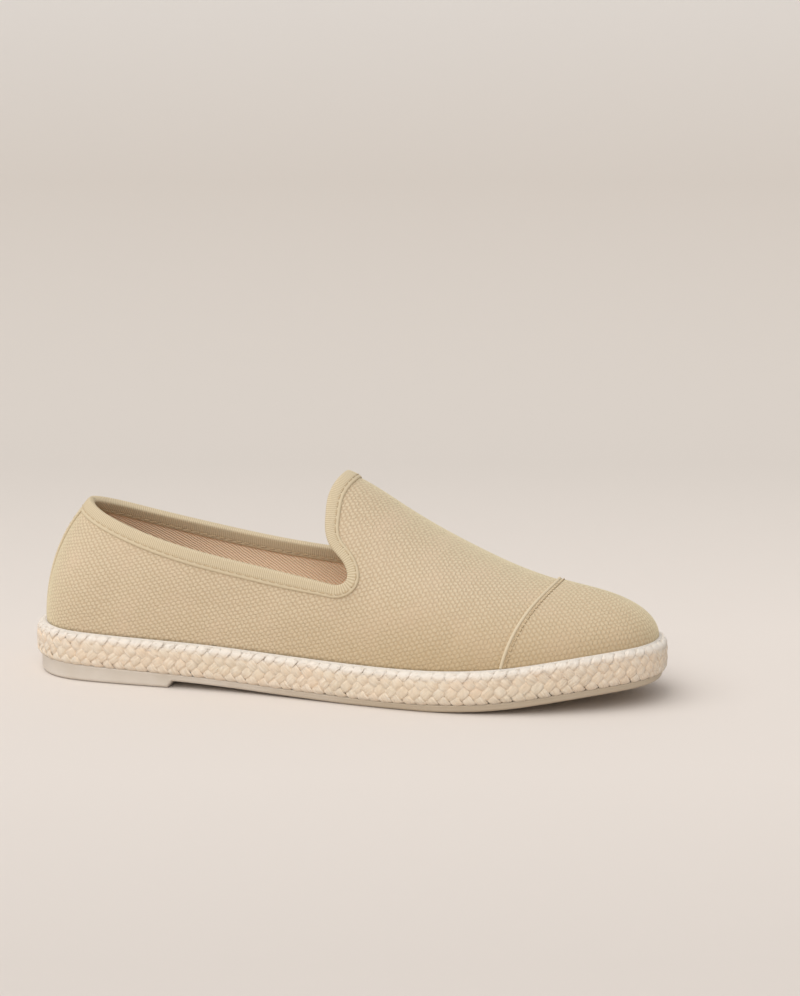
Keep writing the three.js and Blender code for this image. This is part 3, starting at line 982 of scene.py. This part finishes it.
# ------------------------------------------------------------------ toe cap
def cap_edge_points(count):
    """The cap's rear edge on the last, from the outer feather edge over to the inner one."""
    line = bezier(CAP_EDGE, 80)
    reach = climb(*line.T)
    ridge_share = (np.interp(1, reach, line[:, 0]) - RIDGE_START) / RIDGE_RUN
    line = line[(reach > -0.02) & (reach < 1)]
    x_foot, rise = find_on_last(*line.T)
    half = np.column_stack([turn_at(x_foot), np.maximum(rise, 0)])
    half = np.concatenate([half, [[math.acos(1 - 2 * ridge_share), TOP]]])
    both = np.concatenate([half, half[-2::-1] * (-1, 1)])
    points = last(*both.T)
    return resample(points, travelled(points), count)


def line_ahead_of_cap(ahead, proud):
    """A line on the cap, that far ahead of its rear edge, and its outward directions."""
    inner = cap_edge_points(200)[1:-1]
    x, y, z = inner.T
    turn = turn_at(x) * np.where(y > axis(x), -1, 1)
    rise = np.arcsin(np.clip(climb(x, z), 0, 0.9999))
    turn, rise = nearest_on_last(inner, turn, rise)
    out = normal_at(turn, np.clip(rise, SMALL, TOP - SMALL))
    forward = unit(np.cross(directions(inner), out))
    forward *= np.sign(forward[:, :1])
    return lay_on_last(inner + forward * ahead, turn, rise, proud)


def eased(proud, from_edge, ease):
    """Brings a layer's face down to the canvas at its edge."""
    return EDGE_SUNK + (proud - EDGE_SUNK) * smooth(from_edge, *ease)


def make_toe_cap():
    """A second layer of canvas over the toe, its rear edge folded under and sewn down."""
    turns = signed(np.linspace(CAP_FROM, 2 * math.pi - CAP_FROM, 420))
    points, faces, cloth, outward = dome(turns, np.linspace(0, TOP, 120), closed=False)
    distance, _ = nearest_on_line(points, cap_edge_points(240))
    keep = -side_of_line(points[:, 0], points[:, 2], extended(bezier(CAP_EDGE, 80)))
    proud = CAP_PROUD - CAP_CHANNEL * bell(distance - CAP_STITCH_AT, CAP_CHANNEL_WIDTH)
    points = points + outward * eased(proud, distance, CAP_EASE)[:, None]
    look = ("toe_cap", "cap_canvas", cap_canvas, cloth + CAP_CLOTH_SHIFT)
    piece = canvas_piece("toe_cap_canvas", points, faces, keep, *look)
    thicken(piece, "layer", CAP_LAYER)


def make_cap_fold():
    """The turned-in rear edge of the cap: a low, smooth roll of canvas."""
    centres, out = line_ahead_of_cap(CAP_FOLD_AT, GAP + CAP_FOLD_HIGH / 2)
    section = circle(10) * (CAP_FOLD_WIDTH, CAP_FOLD_HIGH / 2)
    points, faces = sweep(centres, unit(np.cross(out, directions(centres))), out, section)
    tape = np.zeros((len(points), 3))
    tape[:, 0] = np.repeat(np.arange(len(centres)), len(section)) * 0.5
    make_piece("cap_fold", points, faces, None, "cap_canvas", cap_roll, tape=tape)


# ------------------------------------------------------------------ heel tape
def turn_for_width(width, rise):
    """Turn at which the last is 'width' to the outer side of the middle, at that rise."""
    low = np.full(np.shape(rise), -1.2)
    high = np.full(np.shape(rise), 1.2)
    for _ in range(40):
        middle = (low + high) / 2
        wide = -last(middle, rise)[..., 1] > width
        high = np.where(wide, middle, high)
        low = np.where(wide, low, middle)
    return (low + high) / 2


def make_heel_tape():
    """Tape down the back seam of the quarters, its edges a little thicker than its middle."""
    rises = np.linspace(0, math.asin(climb(0, STRIP_TOP)) + 0.02, 70)
    widths = np.linspace(-STRIP_HALF_WIDTH, STRIP_HALF_WIDTH, 41)
    rise, width = np.meshgrid(rises, widths, indexing="ij")
    turn = turn_for_width(width, rise)
    from_edge = STRIP_HALF_WIDTH - np.abs(width)
    proud = GAP + STRIP_THICK + STRIP_BEAD * bell(from_edge - STRIP_BEAD_AT, STRIP_BEAD_WIDTH)
    proud -= STRIP_BEAD * bell(from_edge - STRIP_SEAM_AT, STRIP_SEAM_WIDTH)
    proud = eased(proud, from_edge, STRIP_EASE)
    points = last(turn, rise) + normal_at(turn, rise) * proud[..., None]
    tape = np.stack([points[..., 2], width, np.ones_like(width)], -1).reshape(-1, 3)
    faces = grid_faces(len(rises), len(widths)).tolist()
    points = points.reshape(-1, 3)
    piece = make_piece("heel_tape", points, faces, "back_strip", "heel_tape", heel_tape, tape=tape)
    thicken(piece, "layer", STRIP_LAYER)


# ------------------------------------------------------------------ binding
def make_binding():
    """Ribbed tape folded over the edge of the opening, with a plain lip along both its edges."""
    count = round(opening_edge(400)[1] / RIB_PITCH) * RIB_STATIONS + 1
    points, out, down, turn, rise, leg = binding_frame(count)
    stations = len(points)
    station = np.arange(stations)
    run = station * RIB_PITCH / RIB_STATIONS
    rib = np.where(station % RIB_STATIONS < RIB_STATIONS / 2, 0.5, -0.5) * RIB_HEIGHT
    inside = -WALL - GAP
    columns = []
    marks = []

    def add(place, from_edge, ribbed):
        columns.append(place)
        marks.append(np.stack(np.broadcast_arrays(run, from_edge, ribbed), -1))

    def on_canvas(depth, proud):
        """Points at that depth below the edge, moved out from the canvas."""
        return lay_on_last(points + down * np.reshape(depth, (-1, 1)), turn, rise, proud)[0]

    def face(profile, ribbed, base, sign, limit):
        for share, thick in profile:
            proud = base + sign * (thick + rib * ribbed)
            add(on_canvas(share * limit, proud), share * limit * sign, ribbed)

    add(on_canvas(leg, EDGE_SUNK), leg, 0.0)
    face(BIND_LIP[::-1], 0.0, GAP, 1, leg)
    face(BIND_FACE[::-1], 1.0, GAP, 1, leg)
    half = WALL / 2 + GAP + BIND_FACE[0][1]
    for angle in np.linspace(0, math.pi, 9)[1:-1]:
        height = (GAP + BIND_THICK) * math.sin(angle) ** FOLD_ROUND + rib[:, None]
        add(points - down * height + out * (half * math.cos(angle) - WALL / 2), -angle, 1.0)
    face(BIND_FACE, 1.0, inside, -1, BIND_INSIDE)
    face(BIND_LIP, 0.0, inside, -1, BIND_INSIDE)
    add(on_canvas(BIND_INSIDE, inside + GAP - EDGE_SUNK), -BIND_INSIDE, 0.0)
    add(on_canvas(FOLD_DEPTH, -WALL - FOLD_CLEAR), -FOLD_DEPTH, 0.0)
    add(points - down * GAP - out * WALL / 2, 0.0, 0.0)
    add(on_canvas(FOLD_DEPTH, FOLD_CLEAR), FOLD_DEPTH, 0.0)
    faces = grid_faces(stations, len(columns), True, True, flip=True).tolist()
    grid = np.stack(columns, 1).reshape(-1, 3)
    look = ("topline_binding", "binding_tape", binding_tape)
    make_piece("topline_tape", grid, faces, *look, tape=np.stack(marks, 1).reshape(-1, 3))


# ------------------------------------------------------------------ stitches
def stitch_row(points, outward, pitch=STITCH_PITCH, radius=0.26):
    """Stitches along a line: short bent threads whose ends go into the cloth, and their holes as
    dark discs of painted shade.
    """
    run = travelled(points)
    count = int(run[-1] // pitch)
    spread = np.linspace(-0.5, 0.5, 7)
    lift = (radius + STITCH_SUNK) * (1 - (2 * spread) ** 4) - STITCH_SUNK
    threads = []
    holes = []
    for k in range(count):
        middle = (k + 0.5) * run[-1] / count + rng.uniform(-STITCH_STRAY, STITCH_STRAY)
        at = np.clip(middle + spread * pitch * STITCH_SHARE, 0, run[-1])
        out = unit(interpolate(at, run, outward))
        centres = interpolate(at, run, points) + out * lift[:, None]
        along = directions(centres)
        side = unit(np.cross(out, along))
        threads.append(sweep(centres, side, out, circle(6) * radius))
        # a dark disc at the stitch's end: painted shade of its needle hole
        rim = centres[0] + circle(8) * (radius * HOLE_WIDER) @ np.stack([side[0], along[0]])
        disc = np.concatenate([rim - out[0] * 0.1, rim + out[0] * (STITCH_SUNK + 0.05)])
        sides = grid_faces(2, 8, closed_columns=True).tolist()
        holes.append((disc, sides + [list(range(7, -1, -1)), list(range(8, 16))]))
    return threads, holes


def make_stitches():
    """The seams of binding and toe cap with their needle holes, and the heel tape's two seams."""
    edge = binding_frame(300)
    points, _, down, turn, rise, leg = (np.concatenate([part, part[:1]]) for part in edge)
    outer, outward = lay_on_last(points + down * (leg * BIND_SEAM)[:, None], turn, rise, GAP + 0.5)
    rows = [stitch_row(outer, outward, radius=0.2)]
    target = points + down * BIND_INSIDE * BIND_SEAM
    inner, outward = lay_on_last(target, turn, rise, -WALL - GAP - 0.5)
    rows.append(stitch_row(inner, -outward, radius=0.24))
    cap, outward = line_ahead_of_cap(CAP_STITCH_AT, CAP_PROUD - 0.07)
    rows.append(stitch_row(cap, outward, pitch=CAP_STITCH_PITCH, radius=0.3))
    threads = []
    rises = np.linspace(0.02, math.asin(climb(0, STRIP_TOP - 1.5)), 60)
    for side in (-1, 1):
        turn = turn_for_width(side * (STRIP_HALF_WIDTH - STRIP_SEAM_AT), rises)
        outward = normal_at(turn, rises)
        tape = last(turn, rises) + outward * (GAP + STRIP_LAYER)
        threads += stitch_row(tape, outward, pitch=3.2, radius=0.15)[0]
    holes = []
    for row_threads, row_holes in rows:
        threads += row_threads
        holes += row_holes
    make_piece("stitches", *join_meshes(threads), None, "binding_tape", thread)
    make_piece("needle_holes", *join_meshes(holes), None, "binding_tape", needle_hole)


# ------------------------------------------------------------------ rope sole
# The line round the rope sole, by distance travelled from the middle of the heel.
rim_turns = np.linspace(0, 2 * math.pi, 4001)
rim_run = travelled(np.stack(outline(signed(rim_turns), ROPE_RIM - 1), -1))
RIM_LENGTH = rim_run[-1]


def plait_section():
    """The plait's section at even distances along it: out, height and outward direction; and
    its length."""
    arc = np.linspace(0, TOP, 13)
    low = np.stack([np.sin(arc), 1 - np.cos(arc)], -1) * PLAIT_CORNER
    high = np.stack([np.cos(arc) - 1, np.sin(arc) - 1], -1) * PLAIT_CORNER
    low += (PLAIT_OUT - PLAIT_CORNER, PLAIT_LOW)
    high += (PLAIT_OUT, PLAIT_HIGH)
    line = np.concatenate([low, high, [[PLAIT_IN, PLAIT_HIGH]]])
    run = travelled(line)
    even = resample(line, run, SECTION_STATIONS)
    forward = directions(even)
    return np.column_stack([even, forward[:, 1], -forward[:, 0]]), run[-1]


section_line, SECTION_LENGTH = plait_section()
section_at = np.linspace(0, 1, SECTION_STATIONS)


def on_plait(s, b, lift):
    """Points of the plait: s round the shoe, b up its section (0 to 1), lift outwards."""
    out, height, normal_out, normal_up = interpolate(b, section_at, section_line).T
    turn = signed(np.interp(np.mod(s, RIM_LENGTH), rim_run, rim_turns))
    x, y = outline(turn, out + normal_out * lift)
    return np.stack([x, y, under(x) + height + normal_up * lift], -1)


def level_vectors(points):
    """How high points lie in the rope sole, from 0 to 1, as vectors for a mesh attribute."""
    level = np.zeros((len(points), 3))
    level[:, 0] = (points[:, 2] - under(points[:, 0])) / ROPE_BAND
    return level


def make_plait():
    """The flat plait round the rope sole: four rows of strands that slant up and down in turn.
    Each strand is made only where it lies on top: it comes out from under its neighbours and
    goes back under them."""
    section = circle(12)
    section[:, 1] = np.sign(section[:, 1]) * np.abs(section[:, 1]) ** 0.8
    t = np.linspace(-1, 1, 11)
    taper = np.sqrt(np.maximum(1 - np.abs(t) ** 4, 0.02))
    thick = LEAF_HALF_THICK * (0.4 + 0.6 * taper)
    arch = LEAF_ARCH * (np.cos(t * LEAF_BEND) - LEAF_DIP)
    corners = len(section)
    pitch = RIM_LENGTH / PLAIT_PITCHES
    parts = []
    marks = []

    def vary(what):
        return rng.normal(0, LEAF_VARIES[what])

    for row, row_at in enumerate(PLAIT_ROW_AT):
        way = 1 if row % 2 else -1
        flatter = LEAF_TOP_ROW if row_at == PLAIT_ROW_AT[-1] else 1
        for k in range(PLAIT_PITCHES):
            slope = way * math.radians(LEAF_SLOPE + vary("slope"))
            place = (k + 0.5 * (row % 2) + vary("place")) * pitch
            half = LEAF_LENGTH * (1 + vary("length")) / 2
            height = row_at + vary("height")
            s = place + t * half * math.cos(slope)
            b = np.clip(height + t * half * math.sin(slope) / SECTION_LENGTH, 0.005, 0.995)
            lift = arch * flatter + vary("lift")
            centres = on_plait(s, b, lift)
            out = unit(on_plait(s, b, lift + 0.1) - centres)
            along = directions(centres)
            side = unit(np.cross(out, along))
            width = LEAF_HALF_WIDTH * (1 + vary("width")) * taper
            sized = section[None] * np.stack([width, thick], -1)[:, None]
            parts.append(sweep(centres, side, unit(np.cross(along, side)), sized))
            mark = np.empty((len(t) * corners, 3))
            mark[:, 0] = k * 31.7 + row * 11.3 + np.repeat(t, corners) * half
            mark[:, 1] = np.tile(section[:, 0], len(t)) * LEAF_HALF_WIDTH
            mark[:, 2] = (k * 7 + row * 3) % 23
            marks.append(mark)
    points, faces = join_meshes(parts)
    attributes = {"strand": np.concatenate(marks), "level": level_vectors(points)}
    make_piece("rope_plait", points, faces, "midsole", "jute_rope", rope, **attributes)


def make_rope_core():
    """The rope sole inside the plait, with a ledge between plait and canvas."""
    turns = ring_turns(360)
    rings = [
        ring(turns, out, lambda x: under(x) + ROPE_BAND * top + above)
        for out, top, above in CORE_RINGS
    ]
    points = np.concatenate(rings)
    strand = np.zeros((len(rings), len(turns), 3))
    strand[..., 0] = np.linspace(0, RIM_LENGTH, len(turns))
    strand[..., 1] = np.arange(len(rings))[:, None] * 1.5
    attributes = {"strand": strand.reshape(-1, 3), "level": level_vectors(points)}
    faces = stack_faces(len(rings), len(turns))
    make_piece("rope_core", points, faces, "midsole", "jute_rope", rope_core, **attributes)


def fibre(s, b, lift, section):
    """One loose fibre along places of the plait."""
    centres = on_plait(s, b, lift)
    along = directions(centres)
    side = unit(np.cross(along, (0.2, 0.3, 0.93)))
    return sweep(centres, side, unit(np.cross(along, side)), section)


def make_fuzz():
    """Loose fibres standing off the plait, most of them along its top ledge, and one small loop
    that has come loose at the tip of the toe."""
    section = np.array([[1, 0], [-0.5, 0.87], [-0.5, -0.87]]) * FUZZ_RADIUS
    t = np.linspace(0, 1, 5)
    parts = []
    for _ in range(FUZZ_COUNT):
        s = rng.uniform(0, RIM_LENGTH)
        b = 1 - abs(rng.normal(0, 0.16)) if rng.random() < FUZZ_ON_LEDGE else rng.uniform(0.05, 1)
        b = min(max(b, 0.03), 1)
        length = rng.uniform(*FUZZ_LENGTHS)
        lean = rng.uniform(-1, 1)
        lift = LEAF_HALF_THICK * 0.8 + length * 0.2 * np.sin(t * rng.uniform(1.4, 2.9))
        s = s + lean * length * t
        parts.append(fibre(s, np.clip(b + 0.03 * lean * t, 0, 1), lift, section))
    t = np.linspace(0, 1, 24)
    angle = 2 * math.pi * t * 0.9
    s = RIM_LENGTH / 2 - LOOP_FROM_TIP + 2.2 * np.sin(angle)
    lift = 0.9 + 1.7 * np.sin(math.pi * t)
    parts.append(fibre(s, 0.42 + 0.13 * np.cos(angle), lift, circle(5) * 0.1))
    points, faces = join_meshes(parts)
    attributes = {"strand": points * (1, 0, 0), "level": level_vectors(points) * 1.3}
    make_piece("rope_fuzz", points, faces, None, "jute_rope", rope, **attributes)


# ------------------------------------------------------------------ outsole and insole
# Rings of the outsole: out from the canvas, then height above the floor or below the rope.
OUTSOLE_LOW = [(0.2, 0.0), (1.0, 0.12), (1.7, 0.45), (2.2, 1.0), (OUTSOLE_RIM, 1.8)]
OUTSOLE_HIGH = [(OUTSOLE_RIM, 1.3), (OUTSOLE_RIM + 0.5, 0.7), (OUTSOLE_RIM + 0.6, 0.2), (2.4, -0.2)]
INSOLE_EDGE = [(0, 0.0), (0, 0.6), (0.4, 0.85), (1.2, 1.0)]  # inset, share of the thickness
INSOLE_DISH = 0.5


def make_outsole():
    """Thin rubber forepart and heel block in one moulding, with rounded lower edges."""
    breast = turn_at(np.array([BREAST_FRONT - BREAST_RUN, BREAST_FRONT]))
    half = np.linspace(0, math.pi, 181)
    half = half[np.abs(half[:, None] - breast).min(1) > 0.008]
    half = np.sort(np.concatenate([half, breast]))
    turns = np.concatenate([half, -half[-2:0:-1]])
    block = outline_at(turns)[0] < BREAST_FRONT - BREAST_RUN / 2

    def floor(x):
        return np.where(block, 0, np.maximum(0, under(x) - OUTSOLE_THICK))

    rings = [ring(turns, out, lambda x: floor(x) + up) for out, up in OUTSOLE_LOW]
    rings += [ring(turns, out, lambda x: under(x) - drop) for out, drop in OUTSOLE_HIGH]
    faces = stack_faces(len(rings), len(turns))
    points = np.concatenate(rings)
    make_piece("outsole_moulded", points, faces, "outsole", "outsole_rubber", rubber)


def make_insole():
    """Cloth-covered footbed: rounded edge and a slightly dished top."""
    turns = ring_turns(240)
    out = -WALL - INSOLE_INSET
    rings = [
        ring(turns, out - inset, lambda x: seat(x) + GAP + INSOLE_THICK * share)
        for inset, share in INSOLE_EDGE
    ]
    for inward in np.linspace(0.04, 1, 14):
        x, y = plan_point(turns, inward, out - INSOLE_EDGE[-1][0])
        z = seat(x) + GAP + INSOLE_THICK - INSOLE_DISH * smooth(inward, 0, 0.6)
        rings.append(np.stack([x, y, z], -1))
    faces = grid_faces(len(rings), len(turns), closed_columns=True).tolist()
    faces += close_across(len(turns), 0, True)
    points, faces = merge_equal(np.concatenate(rings), faces)
    make_piece("insole_footbed", points, faces, "insole", "insole_cloth", footbed)


make_upper()
make_toe_cap()
make_cap_fold()
make_heel_tape()
make_binding()
make_stitches()
make_plait()
make_rope_core()
make_fuzz()
make_outsole()
make_insole()


# ------------------------------------------------------------------ studio
VIEW_AZIMUTH = math.radians(15)
VIEW_ELEVATION = math.radians(10)
LOOK_AT = (141.0, 0.0, 35.0)  # in the instep; the camera's axis passes right of and above it
AXIS_RIGHT = 25.6
AXIS_ABOVE = 48.2
DISTANCE = 1250.0
LENS = 100.12  # on a 36 mm high sensor
LIGHT_COLOUR = (1.0, 0.992, 0.975)

# In metres.
SWEEP_STARTS = 0.55  # the floor curves up into the backdrop this far behind the shoe
SWEEP_RADIUS = 1.6
SWEEP_HALF_WIDTH = 5.0
SWEEP_HIGH = 5.0
FLOOR_NEAR = 5.0

view_right = np.array([math.cos(VIEW_AZIMUTH), math.sin(VIEW_AZIMUTH), 0])
view_away = np.array([-math.sin(VIEW_AZIMUTH), math.cos(VIEW_AZIMUTH), 0])


def sun(name, azimuth, elevation, strength, spread):
    """A sun lamp seen under those angles, in degrees; azimuth 0 stands on the outer side."""
    light = bpy.data.lights.new(name, "SUN")
    light.energy = strength
    light.angle = math.radians(spread)
    light.color = LIGHT_COLOUR
    a = math.radians(azimuth)
    e = math.radians(elevation)
    towards = Vector((math.sin(a) * math.cos(e), -math.cos(a) * math.cos(e), math.sin(e)))
    new_object(name, light).rotation_euler = towards.to_track_quat("Z", "Y").to_euler()


def make_floor():
    """A pale paper sweep: a level floor that curves up behind the shoe, faintly mottled, with
    painted shade and light across it.
    """
    n = Nodes("floor_paper", srgb(222, 213, 205), 0.95)
    place = n.place()
    depth = n.dot(place, tuple(view_away))
    height = n.dot(place, (0, 0, 1))
    n.tint(srgb(225, 216, 208), n.noise(place, 1.1))
    # painted shade: darker in front of the shoe, towards the back and low on the curve; painted light:
    # paler high on the wall
    n.tint(srgb(216, 207, 199), n.span(depth, -0.38, -0.16, 1.0, 0.0))
    n.tint(srgb(207, 199, 191), depth, 0.1, 0.6)
    n.tint(srgb(199, 190, 181), height, 0.0, 0.15)
    n.tint(srgb(215, 210, 205), height, 0.15, 0.45)
    quarter = np.linspace(0, TOP, 33)
    curve = np.stack([np.sin(quarter), 1 - np.cos(quarter)], -1) * SWEEP_RADIUS + (SWEEP_STARTS, 0)
    near = (-FLOOR_NEAR, 0)
    profile = np.array([near, *curve, (SWEEP_STARTS + SWEEP_RADIUS, SWEEP_HIGH)])
    line = profile[:, :1] * view_away + profile[:, 1:] * (0, 0, 1)
    half = view_right * SWEEP_HALF_WIDTH
    points = np.stack([line - half, line + half], 1).reshape(-1, 3)
    mesh = bpy.data.meshes.new("floor")
    mesh.from_pydata(points, [], grid_faces(len(line), 2, flip=True).tolist())
    mesh.shade_smooth()
    mesh.materials.append(n.finish())
    floor = new_object("floor", mesh)


def make_world():
    world = bpy.data.worlds.new("studio")
    world.use_nodes = True
    background = world.node_tree.nodes["Background"]
    background.inputs["Color"].default_value = srgb(236, 238, 242)
    background.inputs["Strength"].default_value = 0.5
    bpy.context.scene.world = world


def make_camera():
    """15 degrees round from the outer side and 10 above, on a long lens."""
    back = np.array([0, 0, math.sin(VIEW_ELEVATION)]) - view_away * math.cos(VIEW_ELEVATION)
    up = np.cross(back, view_right)
    aim = in_metres(np.array(LOOK_AT) + view_right * AXIS_RIGHT + up * AXIS_ABOVE)
    data = bpy.data.cameras.new("camera")
    data.sensor_width = 36
    data.lens = LENS
    data.clip_start = 0.05
    data.clip_end = 60
    camera = new_object("camera", data)
    camera.matrix_world = Matrix(np.column_stack([view_right, up, back]).tolist()).to_4x4()
    camera.location = aim + back * DISTANCE * MM
    bpy.context.scene.camera = camera


make_floor()
make_world()
sun("key", -46, 60, 1.6, 60)
sun("fill", 8, 36, 0.86, 40)
make_camera()
bpy.context.scene.view_settings.view_transform = "Standard"
